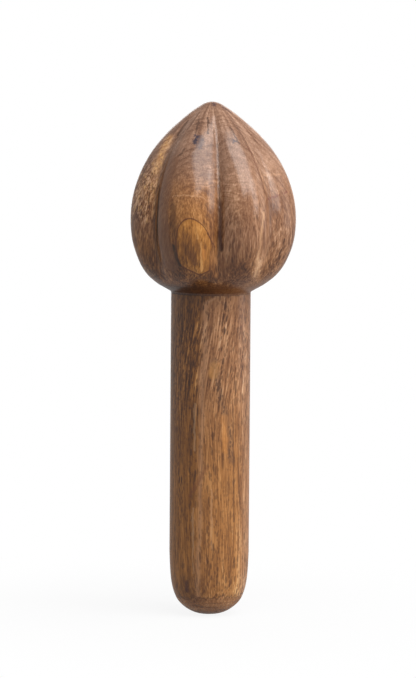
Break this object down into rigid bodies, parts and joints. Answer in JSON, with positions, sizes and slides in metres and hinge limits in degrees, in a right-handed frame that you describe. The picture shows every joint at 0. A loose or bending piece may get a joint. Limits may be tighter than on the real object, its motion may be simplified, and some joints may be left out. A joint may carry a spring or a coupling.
{
  "type": "wooden citrus reamer",
  "caption": "Hand-held wooden citrus reamer: a pointed, grooved, bulbous head on a straight round handle with a domed end.",
  "frame": {"origin": "middle of the domed butt, on the tool's long axis, where the upright tool would touch a table", "axes": "+Z along the tool from the butt to the tip; -Y is the side seen in the picture; +X is to its right"},
  "size_m": [0.0505, 0.0515, 0.158],
  "materials": {
    "head_wood": "oiled, semi-gloss",
    "handle_wood": "oiled, semi-gloss",
    "dowel_wood": "bare, unfinished",
    "glue": "cured wood glue"
  },
  "bodies": {
    "root": {"reamer_head": "head_wood", "handle": "handle_wood", "joint_dowel": "dowel_wood", "glue_line": "glue"}
  },
  "joints": []
}
